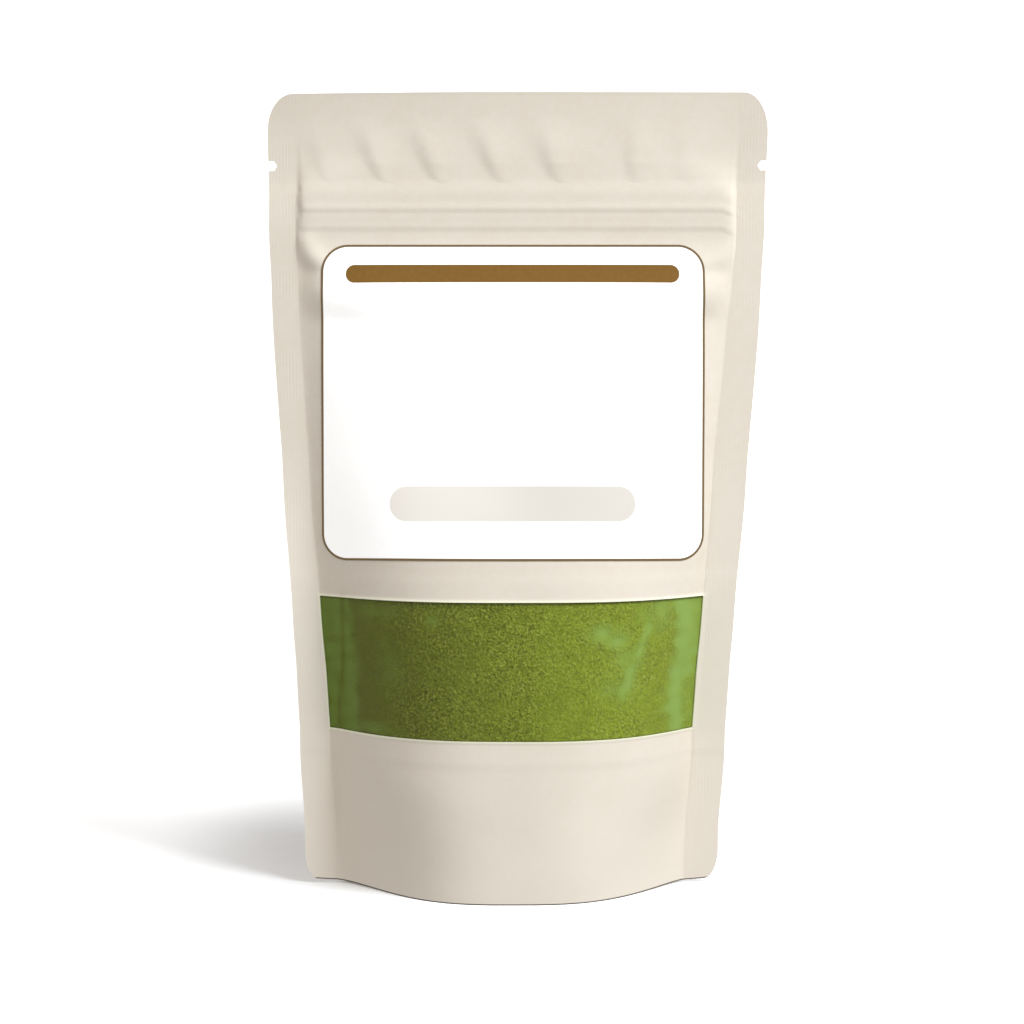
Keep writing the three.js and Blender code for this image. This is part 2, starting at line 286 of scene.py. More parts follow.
def notch_inset(z):
    """How far a tear notch cuts in: straight sides and a blunt point."""
    off = np.abs(z - NOTCH_Z) / NOTCH_HALF_HEIGHT
    tip = NOTCH_TIP * np.clip(1 - off ** 1.15, 0, 1)
    return np.where(off < 1, NOTCH_STRAIGHT + tip, 0.0)


def foot_lift(x, z):
    """The ends of the bottom edge stand a little off the floor."""
    share = np.clip(np.abs(x) / np.interp(z, LEVELS, OUTER_WIDTHS), 0, 1)
    return CORNER_LIFT * share ** 5 * np.clip(1 - z / LIFT_FADE, 0, 1)


# Relief of the walls

# Height of the zip's outline above the plain wall, from its foot to its top edge
ZIP_OUTLINE = [
    (150.0, 0.0),
    (160.0, -0.12),
    (170.4, -0.18),
    (172.4, 0.07),
    (175.3, 0.16),
    (176.9, 0.38),
    (178.5, 0.31),
    (180.6, 0.35),
    (184.5, 0.2),
    (198.0, 0.0),
]

# Folds of the header above the zip: x at the zip, x at the top, height, and left and right widths
FRONT_FOLDS = [
    (-49.6, -52.0, 0.22, 3.6, 8.0),
    (-35.2, -39.0, 0.48, 3.4, 8.5),
    (-20.8, -24.7, 0.52, 3.4, 8.5),
    (-4.8, -8.6, 0.52, 3.4, 8.0),
    (10.2, 7.9, 0.55, 3.8, 10.0),
    (29.8, 31.3, 0.42, 3.0, 8.5),
    (43.0, 44.8, 0.20, 3.6, 8.0),
]
BACK_FOLDS = [
    (-42.0, -38.0, 0.70, 7.0, 3.6),
    (-24.0, -20.5, 0.45, 7.5, 3.8),
    (-6.5, -2.0, 0.90, 8.5, 3.8),
    (15.0, 18.5, 0.80, 7.0, 3.6),
    (37.0, 41.0, 0.65, 7.0, 3.6),
]


def header_folds(x, z, folds):
    """Slanting folds that rise out of sharp points on the zip's top edge, and fade upwards."""
    up = (z - ZIP_TOP) / (HEADER_TOP - ZIP_TOP)
    spread = 0.17 + 0.83 * np.clip(up, 0, 1) ** 0.75
    rise = np.clip(up / 0.35, 0, 1) ** 0.8 * smooth((1.25 - up) / 0.75)
    hook = 1.4 * np.clip((ZIP_TOP + 3.7 - z) / 4.5, 0, 1) ** 2
    total = np.zeros_like(x * z)
    for low_x, high_x, height, left, right in folds:
        off = x - mix(low_x, high_x, up) - hook
        width = np.where(off < 0, left, right) * spread
        total = total + height * np.exp(-((off / width) ** 2))
    return total * rise


def dimple(x, z, centre, size, depth):
    return -depth * np.exp(-(((x - centre[0]) / size[0]) ** 2) - ((z - centre[1]) / size[1]) ** 2)


def zip_relief(x, z, side):
    """The zip's ridges. They run into the right seal, and end in crushed dimples on the left."""
    hollow = hollow_half_width(x, z)
    end = smooth((x + hollow - 0.4) / 1.2) * smooth((hollow - x - 0.3) / 1.2)
    sink = 1.1 * smooth((x - hollow + 4.5) / 4.0)
    relief = through(ZIP_OUTLINE, z + sink) * end
    if side < 0:
        relief = relief + dimple(x, z, (-56.8, 176.5), (0.8, 1.7), 0.6)
        relief = relief + dimple(x, z, (-57.0, 181.6), (0.7, 1.2), 0.4)
    return relief


def window_creases(x, z):
    """Creases of the film beside the seals and the soft dents next to them."""
    left = crease(x, z, (-44.6, 79.5), (-45.0, 39), -0.5, 0.8, 0.12)
    left = left + crease(x, z, (-42.6, 77), (-42.8, 43), 0.28, 1.5, 0.3)
    right = crease(x, z, (34.5, 71), (27.5, 51), 0.3, 1.4)
    right = right + crease(x, z, (44.4, 64), (43.9, 41), -0.3, 1.1)
    right = right + crease(x, z, (41.8, 61), (41.3, 43), 0.2, 1.5)
    return left + right


def front_details(x, z):
    """The fold from the zip's left end, the one beside the label, and the left foot's crease."""
    shoulder = crease(x, z, (-57.0, 171.5), (-48.5, 157), 0.5, 2.8, 0.25)
    fold = crease(x, z, (-52.0, 163), (-46.5, 122), 0.2, 3.0, 0.2)
    foot = crease(x, z, (-46.0, 36), (-45.3, 10), -0.35, 0.8, 0.2)
    return shoulder + fold + foot


def wall_relief(x, z, side):
    """What stands above or below a wall's plain curve, out to the seals' inner edges."""
    share = np.abs(x) / hollow_half_width(x, z)
    calm = smooth((1 - share) / 0.25)
    dents = waves(x, z, 34, 9, 11 if side < 0 else 12) * 0.16
    dents = dents + waves(x, z, 15, 9, 13 if side < 0 else 14) * 0.035
    body = smooth((ZIP_BOTTOM - 4 - z) / 25) * smooth((z + 12) / 20)
    total = dents * calm * body + zip_relief(x, z, side)
    total = total + header_folds(x, z, FRONT_FOLDS if side < 0 else BACK_FOLDS)
    if side < 0:
        total = total + window_creases(x, z) + front_details(x, z)
    return total * smooth((1 - share) / 0.02)


def half_depth(x, z, side):
    share = np.abs(x) / hollow_half_width(x, z)
    hollow = level_cut(share, z, edge_softness(x, z)) + wall_relief(x, z, side)
    return SEAL_HALF_GAP + np.where(share < 1, np.maximum(hollow, 0), 0)


def settle(points):
    """Leans the pouch, tips its header forward, curls its top corners and bends its seals."""
    x, y, z = points[..., 0], points[..., 1], points[..., 2]
    up = smooth((z - ZIP_BOTTOM) / (HEIGHT - ZIP_BOTTOM + 8))
    out = np.clip((np.abs(x) - 8) / (FLAT_HALF_WIDTH - 8), 0, 1) ** 1.6
    curl = np.where(x < 0, CORNER_CURL[-1], CORNER_CURL[1]) * up * out
    rise = np.clip((z - ZIP_TOP) / (HEIGHT - ZIP_TOP), 0, 1)
    forward = HEADER_TIP * rise ** 1.25
    drop = HEADER_DROP * smooth(rise)
    upper = smooth((z - 70) / 50)
    bend = np.where(x < 0, mix(*SEAL_BEND[-1], upper), mix(*SEAL_BEND[1], upper))
    forward = forward + bend * np.clip(np.abs(x) - hollow_half_width(x, z), 0, None)
    return np.stack([x + LEAN * (z - LEAN_CENTRE), y + curl - forward, z - drop], axis=-1)


def wall_point(x, z, offset, side):
    """Points at a distance outside a wall's inner face, before the pouch settles."""
    x, z, offset = np.broadcast_arrays(x, z, offset)
    step = 0.25
    across = half_depth(x + step, z, side) - half_depth(x - step, z, side)
    along = half_depth(x, z + step, side) - half_depth(x, z - step, side)
    slope_x, slope_z = across / (2 * step), along / (2 * step)
    size = np.sqrt(1 + slope_x ** 2 + slope_z ** 2)
    depth = half_depth(x, z, side)
    return np.stack([
        x - slope_x / size * offset,
        side * (depth + offset / size),
        z - slope_z / size * offset,
    ], axis=-1)


# Meshes


def signed_volume(points, faces):
    a, b, c, d = (points[faces[:, k]] for k in range(4))
    return (np.cross(a, b) * c).sum() + (np.cross(a, c) * d).sum()


def loft(sections):
    """Faces of a closed body through sections with the same number of points.

    In each section the second half of the points faces the first half in reverse, which
    closes the ends. The sections are an array of section, point and coordinate.
    """
    last, count = sections.shape[0] - 1, sections.shape[1]
    s, k = np.meshgrid(np.arange(last), np.arange(count), indexing="ij")
    after = (k + 1) % count
    around = np.stack([
        s * count + k,
        s * count + after,
        (s + 1) * count + after,
        (s + 1) * count + k,
    ], axis=-1).reshape(-1, 4)
    k = np.arange(count // 2 - 1)
    pair = count - 1 - k
    first_end = np.stack([k, pair, pair - 1, k + 1], axis=-1)
    last_end = np.stack([k, k + 1, pair - 1, pair], axis=-1) + last * count
    faces = np.concatenate([around, first_end, last_end])
    points = sections.reshape(-1, 3)
    if signed_volume(points, faces) < 0:
        faces = faces[:, ::-1]
    return points, faces.tolist()


def prism(sections):
    """Faces of a closed body through sections that are each one plain polygon."""
    last, count = sections.shape[0] - 1, sections.shape[1]
    faces = []
    for s in range(last):
        for k in range(count):
            after = (k + 1) % count
            faces.append([s * count + k, s * count + after,
                          (s + 1) * count + after, (s + 1) * count + k])
    points = sections.reshape(-1, 3)
    outward = signed_volume(points, np.array(faces)) > 0
    faces.append(list(range(count))[::-1])
    faces.append([last * count + k for k in range(count)])
    if not outward:
        faces = [face[::-1] for face in faces]
    return points, faces


def join_bodies(bodies):
    """One body out of several closed ones."""
    points, faces, start = [], [], 0
    for body_points, body_faces in bodies:
        points.append(body_points)
        faces += [[start + index for index in face] for face in body_faces]
        start += len(body_points)
    return np.concatenate(points), faces


def make_piece(name, body, material, nodes, attributes=None):
    """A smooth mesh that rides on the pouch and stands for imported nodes."""
    points, faces = body
    mesh = bpy.data.meshes.new(name)
    mesh.from_pydata((points * MM).tolist(), [], faces)
    mesh.polygons.foreach_set("use_smooth", [True] * len(mesh.polygons))
    mesh.set_sharp_from_angle(angle=SHARP_ANGLE)
    for label, values in (attributes or {}).items():
        layer = mesh.attributes.new(label, "FLOAT", "POINT")
        layer.data.foreach_set("value", np.asarray(values, float).ravel())
    mesh.materials.append(material)
    mesh.update()
    piece = bpy.data.objects.new(name, mesh)
    bpy.context.scene.collection.objects.link(piece)
    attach(piece, "root")
    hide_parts(*nodes)
    return piece


# Rows and columns of the sheets


def steps(start, end, spacing):
    return np.linspace(start, end, max(2, round(abs(end - start) / spacing) + 1))


def join_rows(*parts):
    return np.unique(np.round(np.concatenate([np.atleast_1d(part) for part in parts]), 3))


def mirrored(values):
    positive = np.array([value for value in values if value > 0])
    return np.concatenate([-positive[::-1], [0.0], positive])


def wall_columns(spacing):
    """Shares of the hollow's half-width up to 1, and of the side seal from 1 to 2."""
    hollow = FLAT_HALF_WIDTH - SIDE_SEAL
    inner = steps(0, 0.86, spacing / hollow)
    near_seal = steps(0.86, 1, 0.4 * spacing / hollow)
    seal = steps(1, 2, spacing / SIDE_SEAL)
    return mirrored(join_rows(inner, near_seal, 1.02, seal, 1.97))


def column_x(column, z):
    hollow = hollow_half_width(column, z)
    share = np.abs(column)
    reach = seal_width(column, z) - corner_inset(column, z) - notch_inset(z)
    in_seal = np.sign(column) * (hollow + (share - 1) * reach)
    return np.where(share <= 1, column * hollow, in_seal)


CORNER_TURNS = np.sin(np.radians(np.linspace(0, 90, 13)))
TOP_CORNER_ROWS = HEIGHT - TOP_CORNERS[-1][1] * (1 - CORNER_TURNS)
BOTTOM_CORNER_ROWS = BOTTOM_CORNER[1] * (1 - CORNER_TURNS)
NOTCH_ROWS = NOTCH_Z + mirrored([0.3, 0.6, 0.85, 1.05, 1.2, 1.28, 1.3, 1.301])
HEADER_ROWS = join_rows(steps(ZIP_TOP, HEIGHT, 0.8), NOTCH_ROWS, TOP_CORNER_ROWS)
ZIP_ROWS = steps(168, ZIP_TOP + 1.6, 0.3)


def sheet_body(columns, rows, side, inner, outer):
    """A sheet along a wall, from seal to seal, between two distances from the wall."""
    column, row = np.meshgrid(columns, rows, indexing="ij")
    x = column_x(column, row)
    z = row + foot_lift(x, row)
    outside = wall_point(x, z, outer(column, row), side)
    inside = wall_point(x, z, inner(column, row), side)
    sections = np.concatenate([outside, inside[:, ::-1]], axis=1)
    return loft(settle(sections)), column, row


def both_faces(marks):
    """Vertex values of a sheet, which are alike on its outer and its inner face."""
    return np.concatenate([marks, marks[:, ::-1]], axis=1)


def seal_mask(column):
    """1 on the side seals, 0 on the hollow."""
    return smooth((np.abs(column) - 1.0) / 0.04)


# Materials


class Shader:
    """A material's node tree, with short calls that add a node and return its output."""

    def __init__(self, name):
        self.material = bpy.data.materials.new(name)
        self.material.use_nodes = True
        self.tree = self.material.node_tree
        self.surface = self.tree.nodes["Principled BSDF"]
        self.place = self.add("ShaderNodeTexCoord", {}).outputs["Object"]

    def add(self, kind, inputs, **settings):
        node = self.tree.nodes.new(kind)
        for key, value in settings.items():
            setattr(node, key, value)
        for key, value in inputs.items():
            self.join(value, node.inputs[key])
        return node

    def join(self, value, socket):
        if isinstance(value, bpy.types.NodeSocket):
            self.tree.links.new(value, socket)
        else:
            socket.default_value = value

    def set(self, **values):
        """Sets sockets of the surface. Underscores stand for spaces."""
        for key, value in values.items():
            self.join(value, self.surface.inputs[key.replace("_", " ")])

    def stretch(self, scale, turn=0.0):
        """The object's coordinates, scaled along each axis and turned in the wall's plane."""
        inputs = {"Vector": self.place, "Scale": scale, "Rotation": (0, turn, 0)}
        return self.add("ShaderNodeMapping", inputs).outputs["Vector"]

    def noise(self, scale, detail=2.0, rough=0.5, vector=None, distortion=0.0):
        inputs = {"Vector": vector or self.place, "Scale": scale, "Detail": detail,
                  "Roughness": rough, "Distortion": distortion}
        return self.add("ShaderNodeTexNoise", inputs).outputs["Fac"]

    def attribute(self, name):
        return self.add("ShaderNodeAttribute", {}, attribute_name=name).outputs["Fac"]

    def maths(self, operation, first, second=0.0, clamp=False):
        inputs = {0: first, 1: second}
        return self.add("ShaderNodeMath", inputs, operation=operation, use_clamp=clamp).outputs[0]

    def remap(self, value, start, end, low=0.0, high=1.0):
        inputs = {"Value": value, "From Min": start, "From Max": end,
                  "To Min": low, "To Max": high}
        node = self.add("ShaderNodeMapRange", inputs, interpolation_type="SMOOTHSTEP")
        return node.outputs["Result"]

    def blend(self, share, first, second):
        inputs = {0: share, 6: first, 7: second}
        return self.add("ShaderNodeMix", inputs, data_type="RGBA").outputs[2]

    def bump(self, height, strength, distance, normal=None):
        inputs = {"Height": height, "Strength": strength, "Distance": distance}
        if normal is not None:
            inputs["Normal"] = normal
        return self.add("ShaderNodeBump", inputs).outputs["Normal"]


def rgb(red, green, blue):
    return (red, green, blue, 1.0)


def rice_paper():
    """Pale matt paper with faint mottling and fibres, ribbed along the side seals. Painted lighter
    on the seals low down and near the bottom, pale along its cut edges as a painted highlight, and
    dark along its lowest edge as a painted contact shadow.
    """
    shader = Shader("rice_paper")
    cloud = shader.noise(55, 3, 0.6)
    mottle = shader.noise(420, 3, 0.6)
    fibres = shader.maths("MAXIMUM", *(
        shader.remap(shader.noise(1, 2, 0.5, shader.stretch(scale, turn), 0.6), 0.66, 0.8)
        for scale, turn in [((160, 800, 1500), 0.5), ((1400, 800, 130), 0.35)]
    ))
    grain = shader.noise(2600, 2, 0.5)
    base = shader.blend(shader.remap(cloud, 0.3, 0.7),
                        rgb(0.79, 0.722, 0.622), rgb(0.808, 0.745, 0.648))
    base = shader.blend(shader.remap(mottle, 0.35, 0.7, 0.0, 0.35), base, rgb(0.84, 0.785, 0.70))
    base = shader.blend(shader.maths("MULTIPLY", fibres, 0.22), base, rgb(0.87, 0.83, 0.76))
    split = shader.add("ShaderNodeSeparateXYZ", {0: shader.place}).outputs
    seal = shader.attribute("seal")
    # The seals are painted lighter, most of all low down: painted light against the shadow the
    # pouch's belly casts on them
    low = shader.remap(split["Z"], 60 * MM, 130 * MM, 0.6, 0.1)
    base = shader.blend(shader.maths("MULTIPLY", seal, low), base, rgb(0.90, 0.845, 0.755))
    # Painted light near the bottom, where the curving wall would be shaded
    base = shader.blend(shader.remap(split["Z"], 0.0, 60 * MM, 0.6, 0.0), base,
                        rgb(0.90, 0.835, 0.735))
    # The cut edges are painted pale: the paper's paler core, brightened as a painted highlight
    base = shader.blend(shader.attribute("core_highlight"), base, rgb(0.97, 0.96, 0.76))
    ribs = shader.maths("SINE", shader.maths("MULTIPLY", split["X"], 2 * math.pi / (0.85 * MM)))
    worn = shader.remap(shader.noise(130, 2), 0.35, 0.7)
    ribs = shader.maths("MULTIPLY", shader.maths("MULTIPLY", ribs, seal), worn)
    base = shader.blend(shader.remap(ribs, 0.2, 1.0, 0.0, 0.045), base, rgb(0.66, 0.61, 0.53))
    # A painted contact shadow along the lowest edge of the paper
    base = shader.blend(shader.attribute("foot"), base, rgb(0.10, 0.08, 0.06))
    relief = shader.bump(grain, 0.35, 0.00006)
    relief = shader.bump(fibres, 0.25, 0.00005, relief)
    relief = shader.bump(ribs, 0.14, 0.00006, relief)
    shader.set(Base_Color=base, Roughness=0.78, Specular_IOR_Level=0.3, Normal=relief)
    return shader.material


def clear_film():
    """A thin clear glossy film."""
    shader = Shader("clear_film")
    dust = shader.noise(300, 3, 0.6)
    tint = shader.blend(shader.remap(dust, 0.4, 0.75), rgb(0.10, 0.13, 0.02), rgb(0.22, 0.27, 0.05))
    ripple = shader.noise(90, 2, 0.5)
    shader.set(Base_Color=tint, Roughness=0.25, IOR=1.5, Alpha=0.08, Specular_IOR_Level=0.45,
               Normal=shader.bump(ripple, 0.4, 0.0004))
    return shader.material


def green_powder():
    """Fine powder: pale crumbs, partly a painted highlight, and dark pits as painted shade; smooth,
    or hazy with a painted sheen of the film, where the film rests on it.
    """
    shader = Shader("green_powder")
    patches = shader.noise(75, 3, 0.55)
    clumps = shader.noise(380, 3, 0.6)
    crumbs = shader.noise(1750, 2, 0.55)
    pits = shader.noise(1500, 2, 0.55, shader.stretch((1, 1, 1), 1.1), 0.5)
    calm = shader.attribute("calm")
    split = shader.add("ShaderNodeSeparateXYZ", {0: shader.place}).outputs
    across = shader.remap(split["X"], -42 * MM, 30 * MM)
    grainy = shader.maths("MULTIPLY", shader.maths("SUBTRACT", 1.0, calm),
                          shader.remap(patches, 0.32, 0.55, 0.6, 1.0))
    base = shader.blend(across, rgb(0.130, 0.152, 0.010), rgb(0.282, 0.372, 0.024))
    base = shader.blend(shader.remap(clumps, 0.58, 0.38, 0.0, 0.25), base, rgb(0.105, 0.122, 0.008))
    # Pale crumbs on the raised grain, partly paler grains and partly painted highlight, and dark
    # pits in its hollows as painted shade
    crumb_highlight_share = shader.maths("MULTIPLY", shader.remap(crumbs, 0.50, 0.60, 0.0, 0.8), grainy)
    pit_shade_share = shader.maths("MULTIPLY", shader.remap(pits, 0.48, 0.37, 0.0, 0.75), grainy)
    pale_crumb_highlight = shader.blend(across, rgb(0.30, 0.33, 0.045), rgb(0.47, 0.56, 0.085))
    rough = shader.blend(crumb_highlight_share, base, pale_crumb_highlight)
    rough = shader.blend(pit_shade_share, rough, rgb(0.082, 0.094, 0.006))
    pale = shader.blend(across, rgb(0.190, 0.285, 0.045), rgb(0.325, 0.500, 0.105))
    # Pale where the film rests on the powder, partly a painted sheen of the film
    colour = shader.blend(shader.attribute("haze_and_sheen"), rough, pale)
    # A painted shadow along the window's top and bottom, under the facings' cut edges
    edge_shadow = shader.maths("MAXIMUM",
                         shader.remap(split["Z"], (WINDOW_TOP - 0.9) * MM, (WINDOW_TOP - 0.1) * MM),
                         shader.remap(split["Z"], (WINDOW_BOTTOM + 0.5) * MM, WINDOW_BOTTOM * MM))
    colour = shader.blend(shader.maths("MULTIPLY", edge_shadow, 0.6), colour, rgb(0.05, 0.06, 0.002))
    height = shader.maths("MULTIPLY", shader.maths("ADD", crumbs, pits), grainy)
    shader.set(Base_Color=colour, Roughness=0.92, Specular_IOR_Level=0.1,
               Normal=shader.bump(height, 0.8, 0.0004))
    return shader.material


def zip_plastic():
    """Milky, slightly shiny plastic."""
    shader = Shader("zip_plastic")
    cloud = shader.noise(400, 2, 0.5)
    base = shader.blend(shader.remap(cloud, 0.3, 0.7), rgb(0.80, 0.82, 0.78), rgb(0.87, 0.89, 0.86))
    shader.set(Base_Color=base, Roughness=0.45, Normal=shader.bump(cloud, 0.1, 0.0001))
    return shader.material


# How far the label's middle lies aside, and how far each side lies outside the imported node's
LABEL_CENTRE_X = -0.4
LABEL_GROWTH = 0.5
LABEL_HALF_WIDTH = node_box("label")[1].x + LABEL_GROWTH
LABEL_RADIUS = 7.0
LABEL_BOW = 1.3
BORDER = 0.6
# The label's sheet and plain print, as boxes with round corners: centre, half size and radius
SHEET = {
    "centre": (0.0, (LABEL_BOTTOM + LABEL_TOP) / 2),
    "half": (LABEL_HALF_WIDTH, (LABEL_TOP - LABEL_BOTTOM) / 2),
    "radius": LABEL_RADIUS,
}
BAR = {"centre": (-0.1, 159.53), "half": (43.2, 2.4), "radius": 2.3}
PILL = {"centre": (-0.1, 99.65), "half": (31.3, 4.5), "radius": 4.4}


def label_paper():
    """Smooth white paper, a brown border and bar, and a beige field painted darker on the right as
    a painted shade against the light from there. It glows a little, painted light that keeps it
    white in shade.
    """
    shader = Shader("label_paper")
    places = shader.attribute("across"), shader.attribute("up")

    def box_distance(centre, half, radius):
        """Distance outside a box with round corners, in millimetres on the sheet."""
        outside = []
        for place, middle, reach in zip(places, centre, half):
            off = shader.maths("ABSOLUTE", shader.maths("SUBTRACT", place, middle))
            outside.append(shader.maths("SUBTRACT", off, reach - radius))
        flat = shader.maths("MINIMUM", shader.maths("MAXIMUM", *outside), 0.0)
        squares = [shader.maths("POWER", shader.maths("MAXIMUM", v, 0.0), 2.0) for v in outside]
        corner = shader.maths("SQRT", shader.maths("ADD", *squares))
        return shader.maths("SUBTRACT", shader.maths("ADD", corner, flat), radius)

    def inside(distance, edge=0.06):
        return shader.remap(distance, -edge, edge, 1.0, 0.0)

    fleck = shader.noise(900, 3, 0.6)
    fleck = shader.remap(fleck, 0.3, 0.7)
    white = shader.blend(fleck, rgb(0.94, 0.94, 0.94), rgb(0.96, 0.96, 0.96))
    ink = shader.blend(fleck, rgb(0.154, 0.081, 0.018), rgb(0.166, 0.088, 0.021))
    border_ink = rgb(0.145, 0.100, 0.050)
    # The beige is painted darker on the right: a painted shade that evens out the light falling
    # from the right
    aside = shader.remap(places[0], -30.0, 12.0)
    beige = shader.blend(aside, rgb(0.734, 0.705, 0.66), rgb(0.58, 0.555, 0.515))
    colour = shader.blend(inside(box_distance(**PILL)), white, beige)
    colour = shader.blend(inside(box_distance(**BAR)), colour, ink)
    within = shader.maths("ADD", box_distance(**SHEET), BORDER)
    colour = shader.blend(inside(within), border_ink, colour)
    # The label glows: painted light that keeps it white where it is shaded
    shader.set(Base_Color=colour, Roughness=0.6, Specular_IOR_Level=0.05,
               Emission_Color=colour, Emission_Strength=0.4,
               Normal=shader.bump(shader.noise(1500, 2), 0.08, 0.00005))
    return shader.material


def studio_white():
    """The pale floor. It glows away from the pouch, so that its shadow ends soon."""
    shader = Shader("studio_white")
    grain = shader.noise(30, 2, 0.5)
    base = shader.blend(shader.remap(grain, 0.3, 0.7), rgb(0.88, 0.89, 0.91), rgb(0.90, 0.91, 0.93))
    shader.set(Base_Color=base, Roughness=0.9, Specular_IOR_Level=0.1,
               Emission_Color=rgb(1, 1, 1), Emission_Strength=shader.attribute("glow"))
    return shader.material


# Pieces


def lap_lift(row):
    """The film lies behind the facings along its two laps, and lifts them there."""
    ramp = 0.9
    below = np.clip((row - FILM_BOTTOM + ramp) / ramp, 0, 1)
    above = np.clip((FILM_TOP + ramp - row) / ramp, 0, 1)
    return (FILM + CLEARANCE) * smooth(np.minimum(below, above))


def join_values(marks):
    return np.concatenate([both_faces(mark).ravel() for mark in marks])


def contact_shadow_mask(row):
    """1 on the paper's lowest edge, which is painted dark as a contact shadow, 0 above it."""
    return (row < CONTACT_SHADOW_EDGE).astype(float)


# The width of a strip's pale cut edge, the paper's core brightened as a painted highlight, as a
# share of the side seal
STRIP_EDGE = 0.05


def seal_strip(side):
    """The paper beside the window on a side seal, with its cut edge towards the window."""
    hair = 0.01
    columns = side * join_rows(1.0, 1.02, 1 + STRIP_EDGE - 0.001, 1 + STRIP_EDGE,
                               steps(1.12, 2, 0.11), 1.97)[::side]
    rows = steps(WINDOW_BOTTOM + hair, WINDOW_TOP - hair, 1.2)
    inside = FILM + 2 * CLEARANCE

    def outer(column, _):
        edge = 1 - smooth((np.abs(column) - 1 - STRIP_EDGE) / 0.06)
        return inside + mix(PAPER, CUT_EDGE, edge)

    return sheet_body(columns, rows, -1, lambda *_: inside, outer)


def make_facing(name, rows, cut_row, node, paper, strips=False):
    """A paper facing of the front wall, thicker along its cut edge at the window, and pale there:
    its paler core, brightened as a painted highlight.
    """
    pale, fade = 0.25, 0.45

    def cut_edge(row):
        return 1 - smooth((np.abs(row - cut_row) - pale) / fade)

    def inner(_, row):
        return lap_lift(row) + CLEARANCE

    def outer(column, row):
        edge = cut_edge(row) * (1 - seal_mask(column))
        return inner(column, row) + mix(PAPER, CUT_EDGE, edge)

    sheets = [sheet_body(wall_columns(1.0), rows, -1, inner, outer)]
    core_highlights = [cut_edge(sheets[0][2]) * (np.abs(sheets[0][1]) < 1.03)]
    if strips:
        sheets += [seal_strip(side) for side in (-1, 1)]
        core_highlights += [(np.abs(column) < 1 + STRIP_EDGE).astype(float) for _, column, _ in sheets[1:]]
    values = {
        "seal": join_values([seal_mask(column) for _, column, _ in sheets]),
        "core_highlight": join_values(core_highlights),
        "foot": join_values([contact_shadow_mask(row) for _, _, row in sheets]),
    }
    body = join_bodies([body for body, _, _ in sheets])
    return make_piece(name, body, paper, [node], values)


def make_film(film):
    rows = steps(FILM_BOTTOM, FILM_TOP, 0.6)
    body, _, _ = sheet_body(wall_columns(0.8), rows, -1, lambda *_: 0.0, lambda *_: FILM)
    return make_piece("window_sheet", body, film, ["window_film"])


def make_back(paper):
    rows = join_rows(steps(0, ZIP_BOTTOM - 2, 1.4), BOTTOM_CORNER_ROWS, ZIP_ROWS, HEADER_ROWS)
    body, column, row = sheet_body(wall_columns(1.2), rows, 1,
                                   lambda *_: 0.0, lambda *_: PAPER)
    values = {
        "seal": both_faces(seal_mask(column)),
        "core_highlight": both_faces(0 * column),
        "foot": both_faces(contact_shadow_mask(row)),
    }
    return make_piece("back_wall", body, paper, ["back_panel"], values)


def gusset_seal_height(share):
    """The height at which the folded bottom leaves the walls."""
    middle = 5.0
    return middle + (GUSSET_RISE - middle) * (1 - np.sqrt(1 - share * share))


def gusset_floor(share, across):
    """The folded bottom's height from wall to wall: flat in the middle, a fold at the sides."""
    flat = 0.65
    fold = smooth((np.abs(share) - 0.5) / 0.5)
    rim = np.clip((np.abs(across) - flat) / (1 - flat), 0, 1) ** 1.6
    return gusset_seal_height(np.abs(share)) * mix(fold, 1, rim)


def make_gusset(paper):
    """The folded bottom: a skirt inside each wall and a pan between them, in one sheet."""
    sheet = 0.2
    gap = 0.06
    foot = 0.2
    outer, inner = -gap, -gap - sheet
    acrosses = mirrored(steps(0, 0.65, 0.13)[1:].tolist() + steps(0.65, 0.96, 0.05)[1:].tolist())
    ups = np.linspace(0, 0.8, 7)
    sections = []
    for share in mirrored(steps(0, 0.97, 0.02)):
        top = gusset_seal_height(abs(share))

        def skirt(offset, side, height):
            x = share * hollow_half_width(share, height)
            return wall_point(x, height + foot_lift(x, height), offset, side)

        def path(offset, side, end):
            heights = [mix(foot, top, up) for up in ups] + [end]
            return [skirt(offset, side, height) for height in heights]

        x = share * hollow_half_width(share, top)
        reach = min(half_depth(x, top, -1), half_depth(x, top, 1)) - gap - sheet

        def pan(above):
            return [np.array([x, across * reach, gusset_floor(share, across) + above])
                    for across in acrosses]

        upper = [*path(outer, -1, top + sheet), *pan(sheet), *path(outer, 1, top + sheet)[::-1]]
        lower = [*path(inner, -1, top - sheet), *pan(0.0), *path(inner, 1, top - sheet)[::-1]]
        sections.append(upper + lower[::-1])
    points = np.array([[np.asarray(p, float) for p in section] for section in sections])
    body = loft(settle(points))
    blank = np.zeros(len(body[0]))
    return make_piece("folded_bottom", body, paper, ["bottom_gusset"],
                      {"seal": blank, "core_highlight": blank, "foot": blank})


def grain_field(shape, spacing, shortest, longest, seed):
    """Seeded random relief of about one unit, with only a band of wavelengths in it."""
    draw = np.random.default_rng(seed)
    field = np.fft.fft2(draw.standard_normal(shape))
    rate = np.hypot(*np.meshgrid(np.fft.fftfreq(shape[0], spacing),
                                 np.fft.fftfreq(shape[1], spacing), indexing="ij"))
    keep = np.exp(-((rate * shortest) ** 2)) * (1 - np.exp(-((rate * longest) ** 2)))
    field = np.fft.ifft2(field * keep).real
    return field / field.std()


